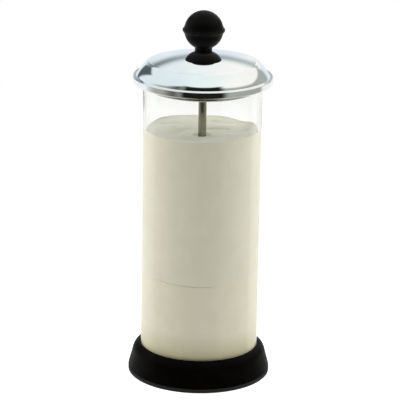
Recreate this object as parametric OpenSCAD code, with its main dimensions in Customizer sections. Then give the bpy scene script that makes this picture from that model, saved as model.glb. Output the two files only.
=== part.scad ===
// Milk frother: a straight glass beaker in a flared black base, a domed metal
// lid with a guide bush, and a hand plunger that carries a double-screen head.
// Millimetres. The axis is Z, and Z = 0 is the surface that it stands on.

/* [Glass beaker] */
// Outer diameter of the straight glass
glass_d = 70; // [62:1:84]
// Thickness of the glass wall
glass_wall = 2; // [1.8:0.1:3.2]
// Thickness of the glass floor
glass_floor = 3.2; // [2.4:0.1:5]
// Height of the glass from its foot to its rim
glass_h = 172.8; // [140:0.5:200]
// Inside radius between the glass wall and its floor
glass_corner_r = 3.6; // [2:0.1:4]
// Outside radius between the glass wall and its foot
glass_foot_r = 5.2; // [4:0.1:6]
// Height of the hollow pushed up under the glass
punt_h = 1; // [0:0.1:1.6]

/* [Base] */
// Height of the black base where it meets the glass
base_h = 18; // [17:0.1:26]
// Radius of the rounded shoulder of the base
base_shoulder_r = 7; // [6.9:0.1:8]
// Slope of the base's side, in degrees off vertical
base_side_angle = 14.5; // [10:0.5:17]
// How far the shoulder's centre lies inside the glass surface
base_shoulder_inset = 2; // [1.2:0.1:2.1]
// Outer wall of the moulded base
base_wall = 2; // [1.8:0.1:2.2]
// Wall of the socket round the glass
socket_wall = 2; // [1.6:0.1:2.2]
// Thickness of the base's floor
base_floor = 2.2; // [1.6:0.1:3.4]
// Ribs between the two walls of the base
base_ribs = 12; // [6:1:18]
// Visible height of the soft foot ring
foot_h = 2.3; // [1.8:0.1:3.4]
// Width of the foot ring's standing face
foot_w = 4; // [3:0.1:5]
// Height of the foot ring's tongue inside the base
tongue_h = 3; // [2:0.1:4]
// Thickness of the soft pad under the glass
pad_t = 1.2; // [0.8:0.1:2.4]

/* [Lid] */
// How far the lid's brim stands out past the glass
brim_out = 6; // [5:0.1:9]
// Radius of curvature of the dome's nearly flat top
crown_r = 1100; // [500:10:2000]
// Radius of the dome's shoulder
dome_shoulder_r = 5; // [3:0.5:8]
// Slope of the dome's side where it meets the shoulder, in degrees below level
dome_side_angle = 43; // [38:1:48]
// Radius of curvature of the dome's side
dome_side_r = 20; // [17:0.5:23]
// Slope of the dome's side at its foot, in degrees below level
dome_foot_angle = 67; // [62:1:72]
// Radius of the two bends of the folded brim
brim_roll_r = 1; // [0.9:0.05:1.3]
// Height of the upright stretch of the brim between its bends
brim_band_h = 2; // [1:0.1:2.6]
// Sheet thickness of the dome
dome_t = 0.7; // [0.5:0.05:0.8]
// Sheet thickness of the inner pan
pan_t = 0.6; // [0.4:0.05:0.8]
// Depth of the pan's skirt below the glass rim
pan_depth = 4.4; // [4:0.1:12]
// Inward step half way down the skirt
pan_step = 0.8; // [0.4:0.1:1.4]

/* [Guide bush] */
// Outer diameter of the bush
bush_d = 8; // [7:0.1:9]
// Diameter of the bush's head
bush_head_d = 14; // [12:0.5:15]
// Thickness of the bush's head
bush_head_t = 1.4; // [1:0.1:2]
// Wall of the spacer sleeve round the bush
sleeve_wall = 1.2; // [0.8:0.1:2]
// Width across the flats of the bush nut
bush_nut_af = 12; // [11:0.5:13]
// Thickness of the bush nut
bush_nut_t = 3; // [2:0.1:4]
// Thickness of the bush washer
washer_t = 0.8; // [0.5:0.1:1.2]

/* [Knob] */
// Radius of the knob's ball
ball_r = 11.4; // [10:0.1:14]
// How far the seam ridge stands out from the ball
ridge_out = 0.9; // [0.4:0.1:1.4]
// Radius of the knob's neck
neck_r = 5; // [4.6:0.1:5.6]
// Radius of the knob's foot
knob_foot_r = 10.6; // [10:0.1:13]
// Radius of the foot's rounded back
knob_foot_back_r = 8.6; // [7.6:0.1:9.6]
// Wall of the hollow knob
knob_wall = 2.2; // [1.8:0.1:2.6]
// Diameter of the threaded insert
insert_d = 8; // [7:0.1:9]

/* [Plunger rod] */
// Diameter of the rod
rod_d = 4.8; // [4.4:0.1:5.2]
// Diameter of the threaded ends of the rod
rod_thread_d = 4; // [3.4:0.1:4.2]

/* [Froth head] */
// Gap between the head and the glass floor with the plunger down
head_floor_gap = 1; // [0.5:0.1:4]
// Gap between the edge spring and the glass wall
head_side_gap = 0.3; // [0.2:0.05:1]
// Outer diameter of the coil of the edge spring
coil_d = 3.4; // [3:0.1:4]
// Wire diameter of the edge spring
wire_d = 0.6; // [0.4:0.05:0.7]
// Spacing of the coil's turns along the plate edge
coil_pitch = 3.6; // [3:0.1:5]
// Sheet thickness of the spring plate
spring_plate_t = 0.7; // [0.5:0.05:1]
// Sheet thickness of the clamp plates
clamp_t = 0.8; // [0.6:0.05:1.2]
// Diameter of the head's hub, which has no holes
hub_d = 16; // [14:0.5:18]
// Thickness of the woven screens
screen_t = 0.35; // [0.25:0.05:0.5]
// Pitch of the openings in the screens
screen_pitch = 3.5; // [3:0.1:5]
// Width of the bars between the screen openings
screen_bar = 0.8; // [0.6:0.1:1.2]
// Sheet thickness of the folded screen rims
rim_t = 0.28; // [0.2:0.02:0.4]
// Width of the folded screen rims
rim_w = 1.3; // [1:0.1:2]
// Height of the collar on top of the head
collar_h = 4; // [3:0.1:8]
// Width across the flats of the head nut
head_nut_af = 8; // [7:0.1:10]
// Thickness of the head nut
head_nut_t = 3; // [2.4:0.1:4]

/* [Hidden] */
$fn = 96;

// Clearances
seat_gap = 0.1;      // the lid's flange over the glass rim
socket_gap = 0.15;   // round the glass in its base
skirt_gap = 0.35;    // the pan's skirt inside the glass
hem_gap = 1.6;       // the dome's hem outside the glass
rest_gap = 0.3;      // the knob's foot over the dome
recess_gap = 0.7;    // the knob's foot over the bush's head
slip_gap = 0.1;      // pieces assembled over one another
run_gap = 0.08;      // the rod in its bush
fit_gap = 0.05;      // the rod in the knob and the head
fold_gap = 0.02;     // sheets folded tight on one another
eye_gap = 0.3;       // the spring's wire in the eyes of its plate
rim_gap = 0.6;       // the screens' rims inside the spring's wire
cut = 1;             // how far a cutter runs past a face

// Heights and radii that follow from the sizes above
glass_r = glass_d / 2;
glass_in_r = glass_r - glass_wall;
base_floor_z = foot_h + rest_gap;
pad_z = base_floor_z + base_floor;
glass_z = pad_z + pad_t;
chamber_z = glass_z + glass_floor;
rim_z = glass_z + glass_h;

socket_r = glass_r + socket_gap;
socket_out_r = socket_r + socket_wall;
shoulder_c = [glass_r - base_shoulder_inset, base_h - base_shoulder_r];
shoulder_start = shoulder_c + base_shoulder_r * [cos(base_side_angle), sin(base_side_angle)];
rib_z = foot_h + tongue_h + rest_gap;
rib_t = 1.4;
web_hub_r = 8;
web_set_in = 8;
web_ring_r = socket_r - web_set_in;

pan_skirt_r = glass_in_r - skirt_gap;
pan_flange_z = rim_z + seat_gap;
brim_r = glass_r + brim_out;
roll_c = [brim_r - brim_roll_r, pan_flange_z + brim_roll_r - dome_t - fold_gap];
hem_r = glass_r + hem_gap;
pan_floor_z = rim_z - pan_depth;
dimple_h = 2;
dimple_room = 0.6;
washer_brim = 2;
bush_washer_r = bush_nut_af / 2 / cos(30) + washer_brim;
dimple_r = bush_washer_r + dimple_room;

// The dome, from its brim to its crown
brim_ledge = 1;
crease_r = 0.5;
function tilted(a) = [sin(a), cos(a)];
brim_bend_c = roll_c + [0, brim_band_h];
crease_c = brim_bend_c + [-brim_ledge, brim_roll_r + crease_r];
dome_side_c = crease_c - (crease_r + dome_side_r) * tilted(dome_foot_angle);
dome_shoulder_c = dome_side_c + (dome_side_r - dome_shoulder_r) * tilted(dome_side_angle);
crown_angle = asin(dome_shoulder_c[0] / (crown_r - dome_shoulder_r));
dome_flat_r = crown_r * sin(crown_angle);
dome_top_z = crown_r + dome_shoulder_c[1] - (crown_r - dome_shoulder_r) * cos(crown_angle);
function crown_z(r) = dome_top_z - crown_r + sqrt(crown_r * crown_r - r * r);

bush_r = bush_d / 2;
bush_hole_r = bush_r + slip_gap;
bush_seat_z = crown_z(bush_hole_r);
pan_hub_z = pan_floor_z + dimple_h;
bush_nut_z = pan_hub_z - washer_t - bush_nut_t;
bush_tail = 0.6;
bush_low_z = bush_nut_z - bush_tail;

rod_r = rod_d / 2;
thread_r = rod_thread_d / 2;
rod_hole_r = rod_r + fit_gap;
thread_hole_r = thread_r + fit_gap;
rod_tip = 0.5;
rod_seat = 1.6;

// The knob, from its foot up
knob_z = crown_z(knob_foot_r) + rest_gap;
foot_lip = 0.4;
foot_back_angle = 27;
neck_fillet_r = 1.2;
neck_straight = 1.25;
foot_c = [knob_foot_r - knob_foot_back_r * cos(foot_back_angle),
          knob_z + foot_lip - knob_foot_back_r * sin(foot_back_angle)];
fillet_x = neck_r + neck_fillet_r;
neck_low_z = foot_c[1] + sqrt(pow(knob_foot_back_r + neck_fillet_r, 2) - pow(fillet_x - foot_c[0], 2));
neck_high_z = neck_low_z + neck_straight;
ball_z = neck_high_z + sqrt(pow(ball_r + neck_fillet_r, 2) - pow(fillet_x, 2));
low_fillet_angle = atan2(neck_low_z - foot_c[1], fillet_x - foot_c[0]);
high_fillet_angle = atan2(ball_z - neck_high_z, fillet_x);
ridge_half = 2.6;
ridge_tip = 0.55;
ridge_angle = asin(ridge_half / ball_r);
ridge_base_r = ball_r + ridge_out / 3;
ridge_base_z = ridge_half / 2 - 0.1;
ball_in_r = ball_r - knob_wall;
insert_r = insert_d / 2;
insert_h = 7.6;
insert_head_h = 2;
insert_head_brim = 1.8;
insert_head_d = insert_d + 2 * insert_head_brim;
boss_r = insert_r + knob_wall;
spigot_wall = 0.9;
spigot_h = 1.4;
spigot_r = sqrt(ball_in_r * ball_in_r - spigot_h * spigot_h) - slip_gap;
foot_recess_r = bush_head_d / 2 + recess_gap;
foot_recess_z = bush_seat_z + bush_head_t + recess_gap;

// The froth head, from its nut up
nut_z = chamber_z + head_floor_gap;
lock_washer_z = nut_z + head_nut_t;
lock_washer_t = 0.6;
cross_z = lock_washer_z + lock_washer_t;
rim_h = screen_t + 2 * rim_t;
lower_rim_z = cross_z + clamp_t;
spring_plate_z = lower_rim_z + rim_h;
upper_rim_z = spring_plate_z + spring_plate_t;
top_plate_z = upper_rim_z + rim_h;
collar_z = top_plate_z + clamp_t;
coil_c = [glass_in_r - head_side_gap - coil_d / 2, spring_plate_z + spring_plate_t / 2];
coil_line_r = coil_d / 2 - wire_d / 2;
coil_turns = round(2 * PI * coil_c[0] / coil_pitch);
eye_r = coil_c[0] - coil_line_r;
eye_hole_r = wire_d / 2 + eye_gap;
screen_rim_r = eye_r - wire_d / 2 - rim_gap;
screen_r = screen_rim_r - rim_t - slip_gap;
clamp_r = screen_rim_r - rim_w / 2;
hub_r = hub_d / 2;

// ---------- helpers ----------

// Points of an arc about c, from angle a to angle b
function arc(c, r, a, b, n = 14) =
    [for (i = [0:n]) c + r * [cos(a + (b - a) * i / n), sin(a + (b - a) * i / n)]];

function onward(p) = [for (i = [1:len(p) - 1]) p[i]];
function reverse(p) = [for (i = [len(p) - 1:-1:0]) p[i]];
function unit(v) = v / norm(v);
function left_of(v) = [-v[1], v[0]];

// A path moved sideways by t, to its left, with mitred corners
function beside(p, t) =
    [for (i = [0:len(p) - 1])
        let (a = left_of(unit(p[max(i, 1)] - p[max(i, 1) - 1])),
             b = left_of(unit(p[min(i + 1, len(p) - 1)] - p[min(i + 1, len(p) - 1) - 1])),
             m = a + b)
        p[i] + m * (2 * t / (m * m))];

// Sheet metal turned about the axis: a path, thickened to its left
module spun_sheet(path, t) {
    rotate_extrude() polygon(concat(path, reverse(beside(path, t))));
}

// Cutter of a bore through a piece of height h that stands on Z = 0
module bore(r, h) {
    translate([0, 0, -cut]) cylinder(r = r, h = h + 2 * cut);
}

module ring(r_out, r_in, h) {
    difference() {
        cylinder(r = r_out, h = h);
        bore(r_in, h);
    }
}

module hex_nut(af, h, hole_r) {
    difference() {
        cylinder(d = af / cos(30), h = h, $fn = 6);
        bore(hole_r, h);
    }
}

// Cutters of n round holes on a circle
module hole_circle(r, d, h, n) {
    for (i = [0:n - 1]) rotate(i * 360 / n) translate([r, 0, 0]) bore(d / 2, h, $fn = 32);
}

// As many holes as a bar between neighbours gives room for
function holes_round(r, d, bar) = floor(2 * PI * r / (d + bar));

// ---------- beaker ----------

module glass_beaker() {
    lip_c = [glass_r - glass_wall / 2, rim_z - glass_wall / 2];
    flat_inset = 2;
    foot_flat_r = glass_r - glass_foot_r - flat_inset;
    punt_slope = 6;
    color([0.86, 0.93, 0.93, 0.35])
    rotate_extrude()
    polygon(concat(
        [[0, glass_z + punt_h], [foot_flat_r - punt_slope * punt_h, glass_z + punt_h], [foot_flat_r, glass_z]],
        arc([glass_r - glass_foot_r, glass_z + glass_foot_r], glass_foot_r, -90, 0),
        arc(lip_c, glass_wall / 2, 0, 180),
        arc([glass_in_r - glass_corner_r, chamber_z + glass_corner_r], glass_corner_r, 0, -90),
        [[0, chamber_z]]));
}

function base_side_r(z) = shoulder_start[0] + (shoulder_start[1] - z) * tan(base_side_angle);
function base_inside_r(z) = base_side_r(z) - base_wall / cos(base_side_angle);

module base_outline() {
    lip_angle = acos((socket_r - cut - shoulder_c[0]) / base_shoulder_r);
    bottom = foot_h + seat_gap;
    edge = 0.4;
    polygon(concat(
        [[0, bottom], [base_side_r(bottom) - edge, bottom], [base_side_r(bottom + edge), bottom + edge]],
        arc(shoulder_c, base_shoulder_r, base_side_angle, lip_angle),
        [[0, base_h]]));
}

// The hollow between the base's two walls
module base_hollow() {
    inner_r = base_shoulder_r - base_wall;
    meet = acos((socket_out_r - shoulder_c[0]) / inner_r);
    polygon(concat(
        [[socket_out_r, 0], [base_inside_r(0), 0]],
        arc(shoulder_c, inner_r, base_side_angle, meet)));
}

module base_shell() {
    web_z = 1.1;
    web_h = base_floor_z + base_floor / 2 - web_z;
    color([0.07, 0.07, 0.07]) {
        difference() {
            rotate_extrude() base_outline();
            translate([0, 0, pad_z]) cylinder(r = socket_r, h = base_h);
            rotate_extrude() base_hollow();
            translate([0, 0, -cut]) cylinder(r = socket_r, h = base_floor_z + cut);
        }
        // Ribs that tie the two walls together
        intersection() {
            rotate_extrude() base_hollow();
            for (i = [0:base_ribs - 1])
                rotate(i * 360 / base_ribs)
                translate([0, -rib_t / 2, rib_z]) cube([base_side_r(0), rib_t, base_h]);
        }
        // Webs under the floor
        translate([0, 0, web_z]) {
            ring(web_ring_r, web_ring_r - rib_t, web_h);
            ring(web_hub_r + rib_t, web_hub_r, web_h);
            for (i = [0:base_ribs / 2 - 1])
                rotate(i * 720 / base_ribs)
                translate([web_hub_r + rib_t / 2, -rib_t / 2, 0])
                    cube([web_ring_r - web_hub_r - rib_t, rib_t, web_h]);
        }
    }
}

// Soft ring with a grooved standing face, pressed between the base's walls
module foot_ring() {
    set_back = 0.15;
    edge = 0.3;
    groove = 0.5;
    outer = base_side_r(foot_h) - set_back;
    stand_r = outer - edge;
    inner = stand_r - foot_w;
    mid = (stand_r + inner) / 2;
    tongue_z = foot_h + tongue_h;
    color([0.05, 0.05, 0.05])
    rotate_extrude()
    polygon([
        [inner, 0], [mid - groove, 0], [mid, groove], [mid + groove, 0], [stand_r, 0],
        [outer, edge], [outer, foot_h - edge], [outer - edge, foot_h],
        [base_inside_r(foot_h) - fit_gap, foot_h], [base_inside_r(tongue_z) - fit_gap, tongue_z],
        [socket_out_r + fit_gap, tongue_z], [socket_out_r + fit_gap, foot_h], [inner, foot_h]]);
}

module seat_pad() {
    inset = 2.5;
    middle_hole_r = 8;
    hole_d = 8;
    pad_r = glass_r - inset;
    color([0.55, 0.55, 0.53])
    translate([0, 0, pad_z])
    difference() {
        cylinder(r = pad_r, h = pad_t);
        bore(middle_hole_r, pad_t);
        hole_circle((pad_r + middle_hole_r) / 2, hole_d, pad_t, 6);
    }
}

// ---------- lid ----------

module lid_dome() {
    crown_steps = 7;
    path = concat(
        [[hem_r, roll_c[1] - brim_roll_r]],
        arc(roll_c, brim_roll_r, -90, 0, 5),
        arc(brim_bend_c, brim_roll_r, 0, 90, 5),
        arc(crease_c, crease_r, 270, 270 - dome_foot_angle, 3),
        onward(arc(dome_side_c, dome_side_r, 90 - dome_foot_angle, 90 - dome_side_angle, 5)),
        onward(arc(dome_shoulder_c, dome_shoulder_r, 90 - dome_side_angle, 90 - crown_angle, 4)),
        [for (i = [crown_steps - 1:-1:0])
            let (r = bush_hole_r + (dome_flat_r - bush_hole_r) * i / crown_steps) [r, crown_z(r)]]);
    color([0.88, 0.89, 0.9]) spun_sheet(path, dome_t);
}

module lid_pan() {
    bend = 0.6;
    corner = 1.4;
    step_z = pan_floor_z + pan_depth / 2;
    low_r = pan_skirt_r - pan_step;
    bead_r = (low_r + dimple_r) / 2;
    bead = 0.7;
    path = concat(
        [[bush_hole_r, pan_hub_z], [dimple_r, pan_hub_z], [dimple_r + dimple_h, pan_floor_z],
         [bead_r - 2 * bead, pan_floor_z], [bead_r - bead / 2, pan_floor_z + bead],
         [bead_r + bead / 2, pan_floor_z + bead], [bead_r + 2 * bead, pan_floor_z]],
        arc([low_r - corner, pan_floor_z + corner], corner, -90, 0, 8),
        [[low_r, step_z - pan_step / 2], [pan_skirt_r, step_z + pan_step / 2]],
        arc([pan_skirt_r + bend, pan_flange_z - bend], bend, 180, 90, 6),
        [[roll_c[0] - slip_gap, pan_flange_z]]);
    color([0.78, 0.79, 0.8]) spun_sheet(path, pan_t);
}

module guide_bush() {
    chamfer = 0.4;
    lead_in = 0.5;
    bore_r = rod_r + run_gap;
    total_h = bush_seat_z + bush_head_t - bush_low_z;
    color([0.12, 0.12, 0.12])
    difference() {
        union() {
            translate([0, 0, bush_low_z]) cylinder(r = bush_r, h = total_h);
            translate([0, 0, bush_seat_z]) cylinder(d = bush_head_d, h = bush_head_t - chamfer);
            translate([0, 0, bush_seat_z + bush_head_t - chamfer])
                cylinder(d1 = bush_head_d, d2 = bush_head_d - 2 * chamfer, h = chamfer);
        }
        translate([0, 0, bush_low_z]) bore(bore_r, total_h);
        translate([0, 0, bush_low_z - fold_gap]) cylinder(r1 = bore_r + lead_in, r2 = bore_r, h = lead_in);
    }
}

module spacer_sleeve() {
    low = pan_hub_z + pan_t;
    color([0.7, 0.71, 0.72])
    translate([0, 0, low]) ring(bush_hole_r + sleeve_wall, bush_hole_r, crown_z(bush_hole_r) - dome_t - low);
}

module bush_washer() {
    color([0.74, 0.75, 0.76])
    translate([0, 0, pan_hub_z - washer_t]) ring(bush_washer_r, bush_hole_r, washer_t);
}

module bush_nut() {
    color([0.74, 0.75, 0.76])
    translate([0, 0, bush_nut_z]) hex_nut(bush_nut_af, bush_nut_t, bush_r + fit_gap);
}

// ---------- knob ----------

module knob_lower() {
    hollow_z = ball_z - sqrt(ball_in_r * ball_in_r - boss_r * boss_r);
    edge = 0.3;
    color([0.04, 0.04, 0.04])
    difference() {
        rotate_extrude()
        polygon(concat(
            [[0, knob_z], [knob_foot_r - edge, knob_z], [knob_foot_r, knob_z + edge]],
            arc(foot_c, knob_foot_back_r, foot_back_angle, low_fillet_angle),
            arc([fillet_x, neck_low_z], neck_fillet_r, 180 + low_fillet_angle, 180, 8),
            arc([fillet_x, neck_high_z], neck_fillet_r, 180, 180 - high_fillet_angle, 8),
            arc([0, ball_z], ball_r, -high_fillet_angle, -ridge_angle, 18),
            [[ridge_base_r, ball_z - ridge_base_z], [ball_r + ridge_out, ball_z - ridge_tip],
             [ball_r + ridge_out, ball_z], [0, ball_z]]));
        // Hollow round the boss
        rotate_extrude()
        polygon(concat(
            [[boss_r, ball_z + cut], [boss_r, hollow_z]],
            arc([0, ball_z], ball_in_r, asin((hollow_z - ball_z) / ball_in_r), 0, 12),
            [[ball_in_r, ball_z + cut]]));
        // Pocket of the insert, bore of the rod, recess over the bush's head
        translate([0, 0, ball_z - insert_h]) cylinder(r = insert_r + fit_gap, h = insert_h + cut);
        translate([0, 0, knob_z - cut]) cylinder(r = rod_hole_r, h = ball_z - knob_z);
        translate([0, 0, knob_z - cut]) cylinder(r = foot_recess_r, h = foot_recess_z - knob_z + cut);
    }
}

module knob_upper() {
    spigot_in_r = spigot_r - spigot_wall;
    shell_angle = acos(spigot_in_r / ball_in_r);
    color([0.04, 0.04, 0.04])
    rotate_extrude()
    polygon(concat(
        [[spigot_in_r, ball_z - spigot_h], [spigot_r, ball_z - spigot_h], [spigot_r, ball_z],
         [ball_r + ridge_out, ball_z], [ball_r + ridge_out, ball_z + ridge_tip],
         [ridge_base_r, ball_z + ridge_base_z]],
        arc([0, ball_z], ball_r, ridge_angle, 90, 20),
        arc([0, ball_z], ball_in_r, 90, shell_angle, 16)));
}

module knob_insert() {
    color([0.78, 0.62, 0.3])
    difference() {
        union() {
            translate([0, 0, ball_z - insert_h]) cylinder(r = insert_r, h = insert_h);
            translate([0, 0, ball_z]) cylinder(d = insert_head_d, h = insert_head_h, $fn = 6);
        }
        translate([0, 0, ball_z - insert_h]) bore(thread_hole_r, insert_h + insert_head_h);
    }
}

// ---------- plunger ----------

module plunger_rod() {
    low_end = nut_z + 0.3;
    low_shoulder = collar_z + collar_h - rod_seat;
    high_shoulder = ball_z - insert_h;
    high_end = ball_z + insert_head_h;
    color([0.72, 0.73, 0.74])
    rotate_extrude()
    polygon([
        [0, low_end], [thread_r - rod_tip, low_end], [thread_r, low_end + rod_tip],
        [thread_r, low_shoulder], [rod_r, low_shoulder],
        [rod_r, high_shoulder], [thread_r, high_shoulder],
        [thread_r, high_end - rod_tip], [thread_r - rod_tip, high_end], [0, high_end]]);
}

module head_collar() {
    wall = 2.2;
    flange_t = 1;
    chamfer = 0.5;
    barrel_r = rod_r + wall;
    color([0.74, 0.75, 0.76])
    translate([0, 0, collar_z])
    difference() {
        union() {
            cylinder(r = hub_r, h = flange_t);
            cylinder(r = barrel_r, h = collar_h - chamfer);
            translate([0, 0, collar_h - chamfer]) cylinder(r1 = barrel_r, r2 = barrel_r - chamfer, h = chamfer);
        }
        bore(thread_hole_r, collar_h);
        translate([0, 0, collar_h - rod_seat]) cylinder(r = rod_hole_r, h = rod_seat + cut);
    }
}

// Round clamp plate on top, drilled in rings
module top_plate() {
    rings = 3;
    hole_d = 4.2;
    bar = 2.2;
    color([0.8, 0.81, 0.82])
    translate([0, 0, top_plate_z])
    difference() {
        cylinder(r = clamp_r, h = clamp_t);
        bore(thread_hole_r, clamp_t);
        for (k = [0:rings - 1]) {
            r = hub_r + (clamp_r - hub_r) * (k + 0.5) / rings;
            hole_circle(r, hole_d, clamp_t, holes_round(r, hole_d, bar));
        }
    }
}

// Clamp plate underneath: six spokes and a turned-down rim
module cross_plate() {
    spokes = 6;
    spoke_w = 4.4;
    border = 3;
    lip = 1.2;
    color([0.8, 0.81, 0.82]) {
        translate([0, 0, cross_z]) {
            ring(clamp_r, clamp_r - border, clamp_t);
            difference() {
                union() {
                    cylinder(r = hub_r, h = clamp_t);
                    for (i = [0:spokes - 1])
                        rotate(i * 360 / spokes)
                        translate([0, -spoke_w / 2, 0]) cube([clamp_r - border / 2, spoke_w, clamp_t]);
                }
                bore(thread_hole_r, clamp_t);
            }
        }
        translate([0, 0, cross_z - lip]) ring(clamp_r, clamp_r - clamp_t, lip + clamp_t / 2);
    }
}

// Plate whose edge eyes hold the coil
module spring_plate() {
    window_d = 9;
    window_bar = 2.4;
    window_c = (hub_r + eye_r) / 2;
    color([0.8, 0.81, 0.82])
    translate([0, 0, spring_plate_z])
    difference() {
        cylinder(r = coil_c[0], h = spring_plate_t);
        bore(thread_hole_r, spring_plate_t);
        rotate(180 / coil_turns) hole_circle(eye_r, 2 * eye_hole_r, spring_plate_t, coil_turns);
        hole_circle(window_c, window_d, spring_plate_t, holes_round(window_c, window_d, window_bar));
    }
}

// Coil wound through the eyes: a helix bent into a closed ring
module edge_spring() {
    per_turn = 8;
    sides = 5;
    rings = coil_turns * per_turn;
    function centre(k) =
        let (a = 360 * k / rings, t = 360 * k / per_turn, r = coil_c[0] + coil_line_r * cos(t))
        [r * cos(a), r * sin(a), coil_c[1] + coil_line_r * sin(t)];
    function wire_point(k, j) =
        let (a = 360 * k / rings, t = 360 * k / per_turn,
             out = [cos(t) * cos(a), cos(t) * sin(a), sin(t)],
             along = unit(centre(k + 1) - centre(k - 1)),
             side = cross(along, out), b = 360 * j / sides)
        centre(k) + wire_d / 2 * (cos(b) * out + sin(b) * unit(side));
    points = [for (k = [0:rings - 1]) for (j = [0:sides - 1]) wire_point(k, j)];
    faces = [for (k = [0:rings - 1]) for (j = [0:sides - 1]) for (upper = [0, 1])
        let (a = k * sides, b = (k + 1) % rings * sides, j2 = (j + 1) % sides)
        upper == 1 ? [a + j, b + j2, b + j] : [a + j, a + j2, b + j2]];
    color([0.7, 0.7, 0.7]) polyhedron(points, faces);
}

// Woven screen, with square openings
module screen(z) {
    n = ceil(screen_r / screen_pitch);
    reach = screen_rim_r - rim_w - screen_bar / 2;
    gap = screen_pitch - screen_bar;
    color([0.66, 0.67, 0.68])
    translate([0, 0, z])
    linear_extrude(screen_t)
    difference() {
        circle(r = screen_r);
        circle(r = thread_hole_r);
        for (i = [-n:n]) for (j = [-n:n]) {
            far = norm([abs(i) * screen_pitch + gap / 2, abs(j) * screen_pitch + gap / 2]);
            near = norm([i, j]) * screen_pitch;
            if (far < reach && near > hub_r)
                translate([i, j] * screen_pitch) square(gap, center = true);
        }
    }
}

// Band folded over the screen's edge
module screen_rim(z) {
    inner = screen_rim_r - rim_w;
    slot = screen_r + fold_gap;
    color([0.82, 0.83, 0.84])
    translate([0, 0, z])
    rotate_extrude()
    polygon([[inner, 0], [screen_rim_r, 0], [screen_rim_r, rim_h], [inner, rim_h],
             [inner, rim_t + screen_t], [slot, rim_t + screen_t], [slot, rim_t], [inner, rim_t]]);
}

module upper_screen() { screen(upper_rim_z + rim_t); }
module upper_screen_rim() { screen_rim(upper_rim_z); }
module lower_screen() { screen(lower_rim_z + rim_t); }
module lower_screen_rim() { screen_rim(lower_rim_z); }

module lock_washer() {
    border = 0.6;
    slit = 1;
    color([0.7, 0.71, 0.72])
    translate([0, 0, lock_washer_z])
    difference() {
        ring(head_nut_af / 2 + border, thread_hole_r, lock_washer_t);
        translate([0, -slit / 2, -cut]) cube([head_nut_af, slit, lock_washer_t + 2 * cut]);
    }
}

module head_nut() {
    color([0.74, 0.75, 0.76])
    translate([0, 0, nut_z]) hex_nut(head_nut_af, head_nut_t, thread_hole_r);
}

glass_beaker();
base_shell();
foot_ring();
seat_pad();
lid_dome();
lid_pan();
guide_bush();
spacer_sleeve();
bush_washer();
bush_nut();
knob_lower();
knob_upper();
knob_insert();
plunger_rod();
head_collar();
top_plate();
upper_screen();
upper_screen_rim();
spring_plate();
edge_spring();
lower_screen();
lower_screen_rim();
cross_plate();
lock_washer();
head_nut();
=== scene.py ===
"""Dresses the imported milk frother: clear beaker, spun lid, moulded plastics, woven screens and milk."""
import math

import bmesh
import bpy
from bpy.props import FloatProperty, FloatVectorProperty, IntProperty, PointerProperty
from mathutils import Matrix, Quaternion, Vector, noise


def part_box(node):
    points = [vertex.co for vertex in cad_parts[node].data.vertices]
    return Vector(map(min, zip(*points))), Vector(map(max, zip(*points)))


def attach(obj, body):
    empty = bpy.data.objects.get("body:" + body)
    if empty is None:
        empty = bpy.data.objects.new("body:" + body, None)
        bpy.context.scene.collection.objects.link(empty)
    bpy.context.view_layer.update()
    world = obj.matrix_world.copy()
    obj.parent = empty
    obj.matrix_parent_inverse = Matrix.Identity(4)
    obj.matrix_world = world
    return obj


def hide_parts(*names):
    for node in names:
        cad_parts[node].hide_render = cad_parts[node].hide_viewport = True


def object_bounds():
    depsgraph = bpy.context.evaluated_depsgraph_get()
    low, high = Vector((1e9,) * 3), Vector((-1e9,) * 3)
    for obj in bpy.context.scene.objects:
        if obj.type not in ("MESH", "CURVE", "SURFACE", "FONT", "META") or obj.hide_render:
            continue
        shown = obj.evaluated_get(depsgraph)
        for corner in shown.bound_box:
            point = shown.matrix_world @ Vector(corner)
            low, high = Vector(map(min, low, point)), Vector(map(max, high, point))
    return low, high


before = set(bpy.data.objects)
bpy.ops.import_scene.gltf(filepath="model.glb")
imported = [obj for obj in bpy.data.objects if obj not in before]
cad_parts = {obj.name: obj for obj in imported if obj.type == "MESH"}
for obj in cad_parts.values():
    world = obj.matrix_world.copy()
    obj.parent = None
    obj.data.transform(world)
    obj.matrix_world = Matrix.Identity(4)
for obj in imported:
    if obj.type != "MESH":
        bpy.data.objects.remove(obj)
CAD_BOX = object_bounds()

bl_info = {
    "name": "Milk frother",
    "version": (1, 0, 0),
    "blender": (4, 5, 0),
    "location": "3D View > Sidebar > Frother",
    "description": "Builds the finished pieces of a hand plunger milk frother round its CAD frame",
    "category": "Add Mesh",
}

MM = 0.001
X_AXIS, Y_AXIS, Z_AXIS = Vector((1, 0, 0)), Vector((0, 1, 0)), Vector((0, 0, 1))
ON_AXIS = 1e-6
ROD_SEAT = 1.6  # depth in millimetres of the rod's seat in the head's collar


# ---------- sizes read from the frame, in millimetres ----------

def points_of(name):
    return [v.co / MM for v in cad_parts[name].data.vertices]


def reach(name, high=math.inf):
    """Greatest distance from the axis of a CAD node's points up to a height."""
    return max(p.xy.length for p in points_of(name) if p.z <= high)


def bore(name, high=math.inf):
    """Smallest distance from the axis of a CAD node's points up to a height."""
    return min(p.xy.length for p in points_of(name) if p.z <= high)


def heights(name):
    low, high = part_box(name)
    return low.z / MM, high.z / MM


# ---------- outlines, as (radius, height) points in millimetres ----------

def arc(centre, radius, start, end, steps=12):
    """Points on a round stretch between two angles in degrees."""
    angles = [math.radians(start + (end - start) * i / steps) for i in range(steps + 1)]
    return [(centre[0] + radius * math.cos(a), centre[1] + radius * math.sin(a)) for a in angles]


def tilted(angle):
    """Unit step in the direction of an angle in degrees."""
    return Vector((math.cos(math.radians(angle)), math.sin(math.radians(angle))))


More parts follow.
